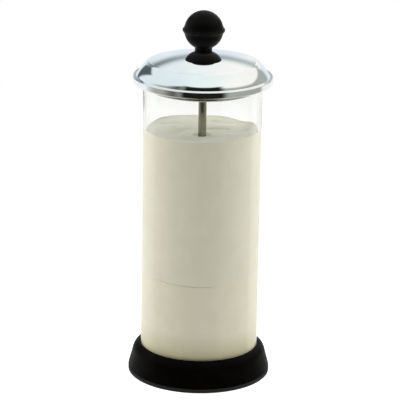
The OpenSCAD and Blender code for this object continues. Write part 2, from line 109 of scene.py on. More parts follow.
def rounded(corners, steps=6):
    """Points through corners given as (radius, height) or (radius, height, fillet)."""
    points = []
    for i, corner in enumerate(corners):
        here = Vector(corner[:2])
        if len(corner) == 2:
            points.append(tuple(here))
            continue
        back = (Vector(corners[i - 1][:2]) - here).normalized()
        ahead = (Vector(corners[(i + 1) % len(corners)][:2]) - here).normalized()
        half = back.angle(ahead) / 2
        centre = here + (back + ahead).normalized() * corner[2] / math.sin(half)
        first = here + back * corner[2] / math.tan(half) - centre
        last = here + ahead * corner[2] / math.tan(half) - centre
        start = math.degrees(math.atan2(first.y, first.x))
        sweep = math.degrees(math.atan2(first.x * last.y - first.y * last.x, first.dot(last)))
        points += arc(centre, corner[2], start, start + sweep, steps)
    return points


def beside(path, distance):
    """The path moved to its left by a distance, with mitred corners."""
    moved = []
    for i, here in enumerate(path):
        low, high = max(i, 1), min(i + 1, len(path) - 1)
        before = (Vector(path[low]) - Vector(path[low - 1])).normalized().orthogonal()
        after = (Vector(path[high]) - Vector(path[high - 1])).normalized().orthogonal()
        mitre = before + after
        moved.append(tuple(Vector(here) + mitre * (2 * distance / mitre.length_squared)))
    return moved


def sheet(path, thickness):
    """Closed outline of sheet metal that lies to the left of a path."""
    return path + beside(path, thickness)[::-1]


def guarded(outline, margin=0.12, long=0.6):
    """The outline with a point near both ends of each long straight stretch, which keeps flats flat."""
    points = []
    for i, here in enumerate(outline):
        here, after = Vector(here), Vector(outline[(i + 1) % len(outline)])
        points.append(tuple(here))
        length = (after - here).length
        if length > long and i + 1 < len(outline):
            points += [tuple(here.lerp(after, margin / length)), tuple(after.lerp(here, margin / length))]
    return points


# ---------- meshes ----------

def mesh_of(name, places, faces):
    mesh = bpy.data.meshes.new(name)
    mesh.from_pydata(places, [], faces)
    return mesh


def smooth(mesh, sharp_angle=32):
    mesh.shade_smooth()
    mesh.set_sharp_from_angle(angle=math.radians(sharp_angle))
    return mesh


def turned(name, outline_at, turns):
    """Mesh swept once about the axis. Its outline, given by angle, is closed or runs from axis to axis."""
    shape = bmesh.new()
    angles = [math.tau * i / turns for i in range(turns)]
    outlines = [outline_at(a) for a in angles]
    rings = []
    for k, (radius, _) in enumerate(outlines[0]):
        whole = radius > ON_AXIS
        rings.append([
            shape.verts.new((o[k][0] * math.cos(a) * MM, o[k][0] * math.sin(a) * MM, o[k][1] * MM))
            for a, o in (zip(angles, outlines) if whole else [(0, outlines[0])])
        ])
    for lower, upper in zip(rings, rings[1:] + rings[:1]):
        for i in range(turns if len(lower) + len(upper) > 2 else 0):
            j = (i + 1) % turns
            corners = [ring[k % len(ring)] for ring, k in ((lower, i), (lower, j), (upper, j), (upper, i))]
            shape.faces.new(dict.fromkeys(corners))
    bmesh.ops.recalc_face_normals(shape, faces=shape.faces)
    mesh = bpy.data.meshes.new(name)
    shape.to_mesh(mesh)
    shape.free()
    return smooth(mesh)


def lathe(name, outline, turns):
    """Mesh turned from one closed outline."""
    outline = guarded(outline)
    return turned(name, lambda angle: outline, turns)


def wires(name, paths, radius, sides, ring=False):
    """Mesh of round wire along paths of (point, sideways direction) pairs in millimetres."""
    places, faces = [], []
    for path in paths:
        first, count = len(places), len(path)
        for i, (here, side) in enumerate(path):
            ahead = path[(i + 1) % count if ring else min(i + 1, count - 1)][0]
            behind = path[i - 1 if ring else max(i - 1, 0)][0]
            along = (ahead - behind).normalized()
            over = along.cross(side).normalized()
            side = over.cross(along)
            for j in range(sides):
                turn = math.tau * j / sides
                places.append((here + radius * (math.cos(turn) * side + math.sin(turn) * over)) * MM)
        for i in range(count if ring else count - 1):
            a, b = first + i * sides, first + (i + 1) % count * sides
            faces += [(a + j, a + (j + 1) % sides, b + (j + 1) % sides, b + j) for j in range(sides)]
        if not ring:
            faces.append(tuple(range(first + sides - 1, first - 1, -1)))
            faces.append(tuple(range(first + (count - 1) * sides, first + count * sides)))
    return smooth(mesh_of(name, places, faces), sharp_angle=60)


def hex_nut(name, node_name, hole):
    """Hexagon nut the size of its CAD node, with turned chamfers and a countersunk hole."""
    land, sink, steps, turn = 0.1, 0.35, 5, math.pi / 6
    low, high = heights(node_name)
    flat = reach(node_name) * math.cos(turn)
    rise = flat / math.cos(turn) - flat + land
    side = [(flat - land + rise * i / steps, rise * math.tan(turn) * i / steps) for i in range(steps + 1)]
    bored = [(hole + sink, high), (hole, high - sink), (hole, low + sink), (hole + sink, low)]

    def outline_at(angle):
        hexagon = flat / math.cos((angle + turn) % (2 * turn) - turn)
        lower = [(min(hexagon, r), low + z) for r, z in side]
        upper = [(r, high + low - z) for r, z in reversed(lower)]
        return lower + upper + bored

    return turned(name, outline_at, 72)


def place(mesh, body, material, replaces=()):
    """Adds the finished piece to the scene, on its CAD body."""
    piece = bpy.data.objects.new(mesh.name, mesh)
    bpy.context.scene.collection.objects.link(piece)
    mesh.materials.append(material)
    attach(piece, body)
    if replaces:
        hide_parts(*replaces)
    return piece


def finish_node(name, material):
    """Gives a CAD node that stays in view its finish."""
    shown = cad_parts[name]
    for material_slot in shown.material_slots:
        material_slot.material = material
    return shown


# ---------- shader helpers ----------

def node(tree, kind, inputs=None, **settings):
    """Adds a shader node; inputs holds values or the sockets to join."""
    made = tree.nodes.new("ShaderNode" + kind)
    for key, value in settings.items():
        setattr(made, key, value)
    for key, value in (inputs or {}).items():
        if isinstance(value, bpy.types.NodeSocket):
            tree.links.new(value, made.inputs[key])
        else:
            made.inputs[key].default_value = value
    return made


def math_node(tree, operation, a, b=0.0):
    return node(tree, "Math", {0: a, 1: b}, operation=operation).outputs[0]


def map_range(tree, value, low, high, out_low=0.0, out_high=1.0):
    inputs = {"Value": value, "From Min": low, "From Max": high, "To Min": out_low, "To Max": out_high}
    return node(tree, "MapRange", inputs).outputs[0]


def mixed(tree, factor, first, second):
    made = node(tree, "Mix", {"Factor": factor}, data_type="RGBA")
    for socket, colour in ((made.inputs[6], first), (made.inputs[7], second)):
        if isinstance(colour, bpy.types.NodeSocket):
            tree.links.new(colour, socket)
        else:
            socket.default_value = (*colour, 1)
    return made.outputs[2]


def noise_node(tree, spot, scale, detail, **more):
    inputs = {"Vector": spot, "Scale": scale, "Detail": detail, **more}
    return node(tree, "TexNoise", inputs).outputs["Fac"]


def parts(tree, vector):
    return node(tree, "SeparateXYZ", {"Vector": vector}).outputs


def effect_group(name, inputs, outputs, build):
    """A node group that several finishes share: inputs with their defaults, named outputs."""
    group = bpy.data.node_groups.get(name)
    if group:
        return group
    group = bpy.data.node_groups.new(name, "ShaderNodeTree")
    for label, value in inputs.items():
        socket = group.interface.new_socket(label, in_out="INPUT", socket_type="NodeSocketFloat")
        socket.default_value = value
    for label in outputs:
        group.interface.new_socket(label, in_out="OUTPUT", socket_type="NodeSocketFloat")
    start, end = group.nodes.new("NodeGroupInput"), group.nodes.new("NodeGroupOutput")
    for label, socket in build(group, start.outputs).items():
        group.links.new(socket, end.inputs[label])
    return group


def use_effect(tree, group, **values):
    made = tree.nodes.new("ShaderNodeGroup")
    made.node_tree = group
    for label, value in values.items():
        made.inputs[label].default_value = value
    return made.outputs


def own_place(tree):
    return node(tree, "TexCoord").outputs["Object"]


def moulded_grain():
    """Fine matt skin of a moulding, with the faint flow of the plastic. Both are counted per metre."""
    def build(tree, values):
        spot = own_place(tree)
        grain = noise_node(tree, spot, values["Grain"], 3.0)
        pits = node(tree, "TexVoronoi", {"Vector": spot, "Scale": values["Grain"]}, feature="SMOOTH_F1")
        flow = noise_node(tree, spot, values["Flow"], 4.0)
        return {"Height": math_node(tree, "ADD", grain, pits.outputs["Distance"]), "Flow": flow}
    return effect_group("moulded_grain", {"Grain": 2500.0, "Flow": 60.0}, ("Height", "Flow"), build)


def turning_lines():
    """Fine rings left by spinning or turning about the axis. Lines is their number per metre."""
    def build(tree, values):
        spot = parts(tree, own_place(tree))
        squares = [math_node(tree, "MULTIPLY", spot[k], spot[k]) for k in ("X", "Y")]
        radius = math_node(tree, "SQRT", math_node(tree, "ADD", *squares))
        along = math_node(tree, "SUBTRACT", radius, spot["Z"])
        wide = math_node(tree, "MULTIPLY", along, values["Lines"])
        fine = node(tree, "TexNoise", {"W": wide, "Scale": 1.0, "Detail": 3.0}, noise_dimensions="1D")
        return {"Height": fine.outputs["Fac"]}
    return effect_group("turning_lines", {"Lines": 3000.0}, ("Height",), build)


def handling_marks():
    """Soft smears left by hands and washing, from 0 to 1. Smears is their number per metre."""
    def build(tree, values):
        spot = own_place(tree)
        wide = noise_node(tree, spot, values["Smears"], 2.0, Distortion=1.2)
        fine = noise_node(tree, spot, 900.0, 2.0)
        mask = map_range(tree, wide, 0.45, 0.7)
        broken = map_range(tree, fine, 0.3, 0.7, out_low=0.6)
        return {"Marks": math_node(tree, "MULTIPLY", mask, broken)}
    return effect_group("handling_marks", {"Smears": 40.0}, ("Marks",), build)


def froth_bubbles():
    """Bubbles of three sizes. Bubbles is the number of the middle ones per metre."""
    def build(tree, values):
        spot = own_place(tree)
        height = None
        for share, weight in ((0.45, 0.5), (1.0, 0.35), (2.4, 0.15)):
            scale = math_node(tree, "MULTIPLY", values["Bubbles"], share)
            cells = node(tree, "TexVoronoi", {"Vector": spot, "Scale": scale, "Randomness": 1.0})
            dome = math_node(tree, "MULTIPLY", cells.outputs["Distance"], -weight)
            height = dome if height is None else math_node(tree, "ADD", height, dome)
        return {"Height": height, "Cloud": noise_node(tree, spot, 110.0, 5.0)}
    return effect_group("froth_bubbles", {"Bubbles": 1400.0}, ("Height", "Cloud"), build)


def finish(name, colour, **values):
    """A new material with one Principled shader: the material, its nodes and that shader."""
    material = bpy.data.materials.new(name)
    material.use_nodes = True
    tree = material.node_tree
    shader = tree.nodes["Principled BSDF"]
    shader.inputs["Base Color"].default_value = (*colour, 1)
    for label, value in values.items():
        shader.inputs[label.replace("_", " ")].default_value = value
    return material, tree, shader


def show(tree, factor, first, second):
    """Ends a material in a mix of two shaders."""
    mix = node(tree, "MixShader", {0: factor, 1: first.outputs[0], 2: second.outputs[0]})
    tree.links.new(mix.outputs[0], tree.nodes["Material Output"].inputs["Surface"])


def bump(tree, shader, height, strength, distance):
    inputs = {"Height": height, "Strength": strength, "Distance": distance}
    tree.links.new(node(tree, "Bump", inputs).outputs["Normal"], shader.inputs["Normal"])


# ---------- finishes ----------

# Metals: roughness clean and marked, turning lines per metre and their depth, smears per metre
METALS = {
    "chrome_plate": (0.012, 0.04, 1500.0, 0.002, 30.0),
    "pressed_steel": (0.06, 0.12, 2600.0, 0.08, 40.0),
    "machined_steel": (0.12, 0.22, 5200.0, 0.25, 40.0),
    "ground_steel": (0.14, 0.24, 7000.0, 0.06, 90.0),
    "wire_steel": (0.1, 0.2, 1200.0, 0.05, 40.0),
    "brass": (0.14, 0.26, 4200.0, 0.25, 40.0),
}
# Plastics and rubbers: least and greatest roughness, grain per metre and its depth, specular level
MOULDINGS = {
    "black_moulding": (0.38, 0.48, 2400.0, 0.35, 0.022),
    "knob_moulding": (0.34, 0.44, 3000.0, 0.25, 0.05),
    "bush_moulding": (0.4, 0.5, 3000.0, 0.3, 0.35),
    "foot_rubber": (0.6, 0.75, 1800.0, 0.5, 0.25),
    "pad_rubber": (0.5, 0.65, 2200.0, 0.4, 0.4),
}
# Milk and froth: bubbles per metre and their depth
MILKS = {"liquid_milk": (900.0, 0.02), "milk_froth": (1500.0, 0.35)}


def once(make):
    """Keeps each finish in one material, however many pieces ask for it."""
    def kept(name, *values):
        return bpy.data.materials.get(name) or make(name, *values)
    return kept


@once
def clear_glass(name, tint):
    """Thin clear glass; diffuse and shadow rays pass straight through, so what it holds is lit."""
    material, tree, shader = finish(name, tint, Transmission_Weight=1.0, Roughness=0.0, IOR=1.47)
    bump(tree, shader, noise_node(tree, own_place(tree), 34.0, 1.0), 0.12, 0.002)
    path = node(tree, "LightPath").outputs
    straight = math_node(tree, "MAXIMUM", path["Is Shadow Ray"], path["Is Diffuse Ray"])
    clear = node(tree, "BsdfTransparent", {"Color": (*[c ** 0.5 for c in tint], 1)})
    show(tree, straight, shader, clear)
    return material


@once
def metal(name, colour):
    """A bare metal, duller where it is marked, with its turning lines."""
    low, high, lines, depth, smears = METALS[name]
    dulling = 0.94
    material, tree, shader = finish(name, colour, Metallic=1.0)
    marks = use_effect(tree, handling_marks(), Smears=smears)["Marks"]
    rings = use_effect(tree, turning_lines(), Lines=lines)["Height"]
    worn = map_range(tree, marks, 0, 1, low, high)
    rough = math_node(tree, "ADD", worn, math_node(tree, "MULTIPLY", rings, low))
    tree.links.new(rough, shader.inputs["Roughness"])
    dulled = mixed(tree, marks, colour, [c * dulling for c in colour])
    tree.links.new(dulled, shader.inputs["Base Color"])
    bump(tree, shader, rings, depth, 0.0002)
    return material


@once
def moulding(name, colour):
    """A moulded plastic or rubber, with fine grain, its roughness varied by its flow and marks."""
    low, high, grain, depth, level = MOULDINGS[name]
    smears, polish = 55.0, -0.05
    material, tree, shader = finish(name, colour, Specular_IOR_Level=level)
    skin = use_effect(tree, moulded_grain(), Grain=grain)
    marks = use_effect(tree, handling_marks(), Smears=smears)["Marks"]
    worn = math_node(tree, "MULTIPLY", marks, polish)
    rough = math_node(tree, "ADD", map_range(tree, skin["Flow"], 0.3, 0.7, low, high), worn)
    tree.links.new(rough, shader.inputs["Roughness"])
    paler = [c * 1.5 + 0.001 for c in colour]
    tree.links.new(mixed(tree, marks, colour, paler), shader.inputs["Base Color"])
    bump(tree, shader, skin["Height"], depth, 0.0001)
    return material


@once
def milky(name, colour, shade, dry_and_lit_froth):
    """Milk or froth, clouded by its bubbles; painted paler on upward faces, partly as drier froth and partly
    as painted light; painted shade low in the base.
    """
    count, depth = MILKS[name]
    shade_low, shade_high = -0.002, 0.014
    material, tree, shader = finish(name, colour, Roughness=0.45, Specular_IOR_Level=0.25)
    bubbles = use_effect(tree, froth_bubbles(), Bubbles=count)
    cloud = map_range(tree, bubbles["Cloud"], 0.35, 0.65)
    up = parts(tree, node(tree, "TexCoord").outputs["Normal"])["Z"]
    # Painted light in part: upward faces turn to the dry froth colour, partly as drier froth and partly as
    # light falling on top
    top = map_range(tree, up, 0.3, 0.9)
    height = parts(tree, own_place(tree))["Z"]
    collar = heights("base_shell")[1] * MM
    # Painted shade: near the base's top the colour darkens towards the square of the second colour, for the
    # base's shade on the milk
    low = map_range(tree, height, collar + shade_low, collar + shade_high, 1.0, 0.0)
    body = mixed(tree, low, mixed(tree, cloud, colour, shade), [c * c for c in shade])
    tree.links.new(mixed(tree, top, body, dry_and_lit_froth), shader.inputs["Base Color"])
    bump(tree, shader, bubbles["Height"], depth, 0.0004)
    return material


# ---------- what a user may change ----------

def number_field(label, default, about, **kind):
    return FloatProperty(name=label, description=about, default=default, **kind)


def length_field(label, default, about):
    return number_field(label, default * MM, about, min=0.0, unit="LENGTH")


def slope_field(label, degrees, about):
    return number_field(label, math.radians(degrees), about, subtype="ANGLE")


def colour_field(label, default, about):
    return FloatVectorProperty(
        name=label, description=about, default=default, min=0.0, max=1.0, subtype="COLOR")


def group_field(group, label, about):
    return PointerProperty(type=group, name=label, description=about)


class FrotherGlass(bpy.types.PropertyGroup):
    wall: length_field("Wall", 2.0, "Thickness of the glass wall")
    floor: length_field("Floor", 3.2, "Thickness of the glass floor")
    corner: length_field("Inner corner", 3.6, "Inside radius between wall and floor")
    foot: length_field("Foot corner", 5.2, "Outside radius between wall and foot")
    punt: length_field("Punt", 1.0, "Height of the hollow pushed up under the glass")
    tint: colour_field("Tint", (0.962, 0.968, 0.958), "Colour of the glass")


class FrotherLid(bpy.types.PropertyGroup):
    sheet: length_field("Dome sheet", 0.7, "Sheet thickness of the dome")
    roll: length_field("Brim roll", 1.0, "Radius of the lower bend of the folded brim")
    band: length_field("Brim band", 2.6, "Height of the brim's upright stretch between its bends")
    bend: length_field("Brim edge", 0.4, "Radius of the upper bend of the folded brim")
    ledge: length_field("Brim ledge", 1.6, "Width of the level ledge between brim and side")
    crease: length_field("Crease", 0.5, "Radius of the crease between brim and side")
    side: length_field("Side", 20.0, "Radius of curvature of the dome's side")
    shoulder: length_field("Shoulder", 5.0, "Radius of the dome's shoulder")
    crown: length_field("Crown", 1100.0, "Radius of curvature of the dome's top")
    side_slope: slope_field("Side slope", 43, "Slope of the side where it meets the shoulder")
    foot_slope: slope_field("Foot slope", 67, "Slope of the side at its foot")
    pan_sheet: length_field("Pan sheet", 0.6, "Sheet thickness of the inner pan")
    chrome: colour_field("Chrome", (0.9, 0.92, 0.93), "Colour of the plated dome")
    steel: colour_field("Pan steel", (0.62, 0.61, 0.59), "Colour of the pressed pan")
    nylon: colour_field("Bush", (0.012, 0.012, 0.012), "Colour of the guide bush")


class FrotherKnob(bpy.types.PropertyGroup):
    ridge: length_field("Seam ridge", 0.9, "How far the seam ridge stands out from the ball")
    neck: length_field("Neck", 5.0, "Radius of the neck")
    back: length_field("Foot back", 8.6, "Radius of the foot's rounded back")
    wall: length_field("Wall", 2.2, "Wall of the hollow ball")
    plastic: colour_field("Plastic", (0.0026, 0.0023, 0.0018), "Colour of the knob")
    brass: colour_field("Brass", (0.72, 0.5, 0.2), "Colour of the threaded insert")


class FrotherBase(bpy.types.PropertyGroup):
    plastic: colour_field("Plastic", (0.0018, 0.0014, 0.0009), "Colour of the base")
    rubber: colour_field("Foot ring", (0.004, 0.004, 0.004), "Colour of the soft foot ring")
    pad: colour_field("Seat pad", (0.25, 0.25, 0.24), "Colour of the pad under the glass")


class FrotherHead(bpy.types.PropertyGroup):
    mesh: length_field("Mesh pitch", 0.9, "Spacing of the wires in the woven screens")
    mesh_wire: length_field("Mesh wire", 0.18, "Diameter of the wires in the woven screens")
    coil_wire: length_field("Coil wire", 0.6, "Diameter of the wire of the edge spring")
    turns: IntProperty(
        name="Coil turns", description="Turns of the edge spring round the plate", default=53, min=12)
    pitch: length_field("Thread pitch", 0.7, "Pitch of the rod's threads")
    steel: colour_field("Steel", (0.6, 0.59, 0.57), "Colour of plates, nuts and wires")
    # Painted shade: the rod's steel is given darker than bare steel, for the shade of lid and froth that it
    # mirrors behind the glass
    rod: colour_field("Rod steel", (0.35, 0.335, 0.285), "Colour of the plunger rod")


class FrotherMilk(bpy.types.PropertyGroup):
    level: length_field("Froth level", 149.9, "Height of the froth where it meets the glass")
    sag: length_field("Sag", 4.0, "How far the froth has sunk round the rod")
    lean: length_field("Lean", 0.7, "How much lower the froth stands at the back than in the middle")
    border: length_field("Milk level", 63.0, "Height of the border between milk and froth")
    unevenness: length_field("Unevenness", 0.6, "How far the froth's surface rises and falls")
    milk: colour_field("Milk", (0.805, 0.768, 0.605), "Colour of the milk")
    milk_shade: colour_field("Milk shade", (0.775, 0.737, 0.57), "Second colour of the milk")
    froth: colour_field("Froth", (0.795, 0.762, 0.615), "Colour of the wet froth behind the glass")
    froth_shade: colour_field("Froth shade", (0.765, 0.731, 0.58), "Second colour of the wet froth")
    # Painted light in part: paler colour of the froth's upward faces, partly drier froth and partly light
    # falling on top
    dry_and_lit_froth: colour_field("Dry froth", (0.99, 0.985, 0.845), "Colour of the froth's top")


class FrotherStage(bpy.types.PropertyGroup):
    distance: number_field("Camera distance", 1.3, "How far the camera stands back", unit="LENGTH")
    height: number_field("Camera height", 0.5103, "Height of the camera", unit="LENGTH")
    aim: number_field("Aim", 0.1061, "Height that the camera looks at", unit="LENGTH")
    lens: number_field("Lens", 206.9, "Focal length", unit="CAMERA")
    roll: number_field("Roll", 0.0164, "Camera's turn about its own axis", subtype="ANGLE")
    shift: number_field("Shift", -0.0026, "Sideways shift of the view")
    ambient: number_field("Ambient", 0.38, "Light of the pale room on matt surfaces")
    side_lamps: number_field("Side lamps", 10.5, "Power of each side lamp", unit="POWER")
    top_lamp: number_field("Top lamp", 3.0, "Power of the lamp overhead", unit="POWER")


class FrotherSettings(bpy.types.PropertyGroup):
    glass: group_field(FrotherGlass, "Glass", "Sizes and colour of the beaker")
    lid: group_field(FrotherLid, "Lid", "Sizes and colours of the lid")
    knob: group_field(FrotherKnob, "Knob", "Sizes and colours of the knob")
    base: group_field(FrotherBase, "Base", "Colours of the base")
    head: group_field(FrotherHead, "Froth head", "Sizes and colours of rod and head")
    milk: group_field(FrotherMilk, "Milk", "Levels and colours of the milk")
    stage: group_field(FrotherStage, "Stage", "Camera and light")


def in_mm(settings, *names):
    return [getattr(settings, name) / MM for name in names]


# ---------- beaker ----------

class FROTHER_OT_glass(bpy.types.Operator):
    """Make the clear beaker, blown and fire-polished at its lip"""
    bl_idname = "frother.glass"
    bl_label = "Glass beaker"

    def execute(self, context):
        settings = context.scene.frother.glass
        wall, floor, corner, foot, punt = in_mm(settings, "wall", "floor", "corner", "foot", "punt")
        low, high = heights("glass_beaker")
        outer = reach("glass_beaker")
        inner = outer - wall
        flat, run, wide_fillet, fillet = 2, 6, 6, 2
        stand = outer - foot - flat
        hollow = [(0, low + punt), (stand - run * punt, low + punt, wide_fillet), (stand, low, fillet)]
        outline = (
            rounded([*hollow, (outer - foot, low)])
            + arc((outer - foot, low + foot), foot, -90, 0)
            + arc((outer - wall / 2, high - wall / 2), wall / 2, 0, 180)
            + arc((inner - corner, low + floor + corner), corner, 0, -90)
            + [(0, low + floor)])
        mesh = lathe("beaker_glass", outline, 256)
        place(mesh, "beaker", clear_glass("clear_glass", settings.tint), ["glass_beaker"])
        return {"FINISHED"}


class FROTHER_OT_base(bpy.types.Operator):
    """Finish the moulded base, its soft foot ring and the pad that the glass stands on"""
    bl_idname = "frother.base"
    bl_label = "Base"

    def execute(self, context):
        settings = context.scene.frother.base
        finish_node("base_shell", moulding("black_moulding", settings.plastic))
        finish_node("foot_ring", moulding("foot_rubber", settings.rubber))
        finish_node("seat_pad", moulding("pad_rubber", settings.pad))
        return {"FINISHED"}


# ---------- lid ----------

class FROTHER_OT_lid(bpy.types.Operator):
    """Make the spun dome with its folded brim, and the pressed pan inside it"""
    bl_idname = "frother.lid"
    bl_label = "Lid"

    def execute(self, context):
        settings = context.scene.frother.lid
        self.make_dome(settings)
        self.make_pan(settings)
        return {"FINISHED"}

    def make_dome(self, settings):
        sheet_t, roll, band, ledge = in_mm(settings, "sheet", "roll", "band", "ledge")
        bend, crease, side = in_mm(settings, "bend", "crease", "side")
        shoulder, crown = in_mm(settings, "shoulder", "crown")
        low, _ = heights("lid_dome")
        hem_height = 0.1
        side_angle = 90 - math.degrees(settings.side_slope)
        foot_angle = 90 - math.degrees(settings.foot_slope)
        roll_c = Vector((reach("lid_dome") - roll, low + roll))
        bend_c = roll_c + Vector((roll - bend, band))
        crease_c = bend_c + Vector((-ledge, bend + crease))
        side_c = crease_c - (crease + side) * tilted(foot_angle)
        shoulder_c = side_c + (side - shoulder) * tilted(side_angle)
        crown_angle = math.degrees(math.asin(shoulder_c.x / (crown - shoulder)))
        crown_c = shoulder_c.y - (crown - shoulder) * math.cos(math.radians(crown_angle))
        hole_angle = math.degrees(math.asin(bore("lid_dome") / crown))
        hem = bore("lid_dome", high=low + hem_height)
        path = (
            [(hem, roll_c.y - roll)]
            + arc(roll_c, roll, -90, 0)
            + arc(bend_c, bend, 0, 90)
            + arc(crease_c, crease, 270, 180 + foot_angle, 8)
            + arc(side_c, side, foot_angle, side_angle, 20)[1:]
            + arc(shoulder_c, shoulder, side_angle, 90 - crown_angle, 20)[1:]
            + arc((0, crown_c), crown, 90 - crown_angle, 90 - hole_angle, 16))
        mesh = lathe("spun_dome", sheet(path, sheet_t), 320)
        place(mesh, "lid", metal("chrome_plate", settings.chrome), ["lid_dome"])

    def make_pan(self, settings):
        pan_t, = in_mm(settings, "pan_sheet")
        low, high = heights("lid_pan")
        flange = high - pan_t
        hole, brim = bore("lid_pan"), reach("lid_pan")
        under_flange, skirt_foot, step_drop = 1.2, 1.6, 0.1
        skirt = reach("lid_pan", high=flange - under_flange)
        skirt_low = reach("lid_pan", high=low + skirt_foot)
        dish, dish_slant, room = 2, 2, 0.6
        bead_foot, bead_top, bead_rise = 1.4, 0.35, 0.7
        joggle, knee, curl, bend, heel = 0.4, 0.5, 0.6, 0.8, 1.4
        dimple = reach("bush_washer") + room
        bead = (skirt_low + dimple) / 2
        step = low + (flange - step_drop - low) / 2
        corners = [
            (hole, low + dish), (dimple, low + dish, knee), (dimple + dish_slant, low, bend),
            (bead - bead_foot, low, bend), (bead - bead_top, low + bead_rise, curl),
            (bead + bead_top, low + bead_rise, curl), (bead + bead_foot, low, bend),
            (skirt_low, low, heel), (skirt_low, step - joggle, joggle),
            (skirt, step + joggle, joggle), (skirt, flange, curl), (brim, flange)]
        mesh = lathe("pressed_pan", sheet(rounded(corners), pan_t), 256)
        place(mesh, "lid", metal("pressed_steel", settings.steel), ["lid_pan"])


class FROTHER_OT_bush(bpy.types.Operator):
    """Make the guide bush with its sleeve, washer and nut, which clamp the dome to the pan"""
    bl_idname = "frother.bush"
    bl_label = "Guide bush"

    def execute(self, context):
        settings = context.scene.frother.lid
        low, high = heights("guide_bush")
        head_height, head_room, fit = 1.4, 3, 0.05
        head, barrel = reach("guide_bush"), reach("guide_bush", high=high - head_room)
        hole, seat = bore("guide_bush"), high - head_height
        outline = rounded([
            (hole, low, 0.5), (barrel, low, 0.3), (barrel, seat), (head, seat, 0.2), (head, high, 0.45),
            (hole, high, 0.4)])
        mesh = lathe("nylon_bush", outline, 96)
        place(mesh, "lid", moulding("bush_moulding", settings.nylon), ["guide_bush"])
        steel = metal("machined_steel", context.scene.frother.head.steel)
        place(hex_nut("clamp_nut", "bush_nut", barrel + fit), "lid", steel, ["bush_nut"])
        finish_node("spacer_sleeve", steel)
        finish_node("bush_washer", steel)
        return {"FINISHED"}


# ---------- plunger ----------

class FROTHER_OT_knob(bpy.types.Operator):
    """Make the two halves of the hollow ball knob"""
    bl_idname = "frother.knob"
    bl_label = "Knob"

    def execute(self, context):
        settings = context.scene.frother.knob
        ridge, neck, back, wall = in_mm(settings, "ridge", "neck", "back", "wall")
        low, _ = heights("knob_lower")
        joint_low, top = heights("knob_upper")
        rim = reach("knob_upper")
        ball = rim - ridge
        mid = top - ball
        inside = ball - wall
        foot_height, insert_depth, spigot_height = 0.31, 0.5, 0.2
        foot = reach("knob_lower", high=low + foot_height)
        ridge_half, ridge_tip, ridge_dip, fillet, lip, back_angle = 2.6, 0.55, 0.1, 1.5, 0.4, 27
        edge, chamfer, parting, fit, room, spigot_wall = 0.3, 0.12, 0.02, 0.05, 0.7, 0.9

        # Lower half: foot, neck and half the ball, with the rod's bore and the insert's pocket
        foot_c = Vector((foot - back * math.cos(math.radians(back_angle)),
                         low + lip - back * math.sin(math.radians(back_angle))))
        fillet_x = neck + fillet
        neck_low = foot_c.y + math.sqrt((back + fillet) ** 2 - (fillet_x - foot_c.x) ** 2)
        neck_high = mid - math.sqrt((ball + fillet) ** 2 - fillet_x ** 2)
        low_angle = math.degrees(math.atan2(neck_low - foot_c.y, fillet_x - foot_c.x))
        high_angle = math.degrees(math.atan2(mid - neck_high, fillet_x))
        ridge_angle = math.degrees(math.asin(ridge_half / ball))
        insert, insert_low = reach("knob_insert", high=mid - insert_depth), heights("knob_insert")[0]
        boss = insert + wall
        hollow = mid - math.sqrt(inside ** 2 - boss ** 2)
        hollow_angle = math.degrees(math.asin((hollow - mid) / inside))
        rod = bore("knob_lower")
        recess = reach("guide_bush") + room
        recess_top = heights("guide_bush")[1] + room
        flank = [(ball + ridge / 3, ridge_half / 2 - ridge_dip), (rim, ridge_tip)]
        outline = (
            [(recess, recess_top), (recess, low)]
            + arc((foot - edge, low + edge), edge, -90, 0, 5)
            + arc(foot_c, back, back_angle, low_angle, 18)
            + arc((fillet_x, neck_low), fillet, 180 + low_angle, 180, 8)
            + arc((fillet_x, neck_high), fillet, 180, 180 - high_angle, 8)
            + arc((0, mid), ball, -high_angle, -ridge_angle, 24)
            + [(r, mid - z) for r, z in flank]
            + [(rim, mid - chamfer), (rim - chamfer, mid - parting), (inside, mid - parting)]
            + arc((0, mid), inside, 0, hollow_angle, 16)
            + [(boss, mid - parting), (insert + fit, mid - parting), (insert + fit, insert_low),
               (rod, insert_low), (rod, recess_top)])
        plastic = moulding("knob_moulding", settings.plastic)
        cup = place(lathe("knob_cup", outline, 192), "plunger", plastic, ["knob_lower"])

        # Upper half: a cap with a spigot that fits inside the lower half
        spigot = reach("knob_upper", high=joint_low + spigot_height)
        spigot_in = spigot - spigot_wall
        cap_angle = math.degrees(math.acos(spigot_in / inside))
        outline = (
            arc((0, mid), inside, 90, cap_angle, 20)
            + [(spigot_in, joint_low), (spigot, joint_low), (spigot, mid + parting),
               (rim - chamfer, mid + parting), (rim, mid + chamfer)]
            + [(r, mid + z) for r, z in reversed(flank)]
            + arc((0, mid), ball, ridge_angle, 90, 30))
        cap = place(lathe("knob_cap", outline, 192), "plunger", plastic, ["knob_upper"])
        insert = finish_node("knob_insert", metal("brass", settings.brass))
        for piece in (cup, cap, insert):
            piece.visible_glossy = False
        return {"FINISHED"}


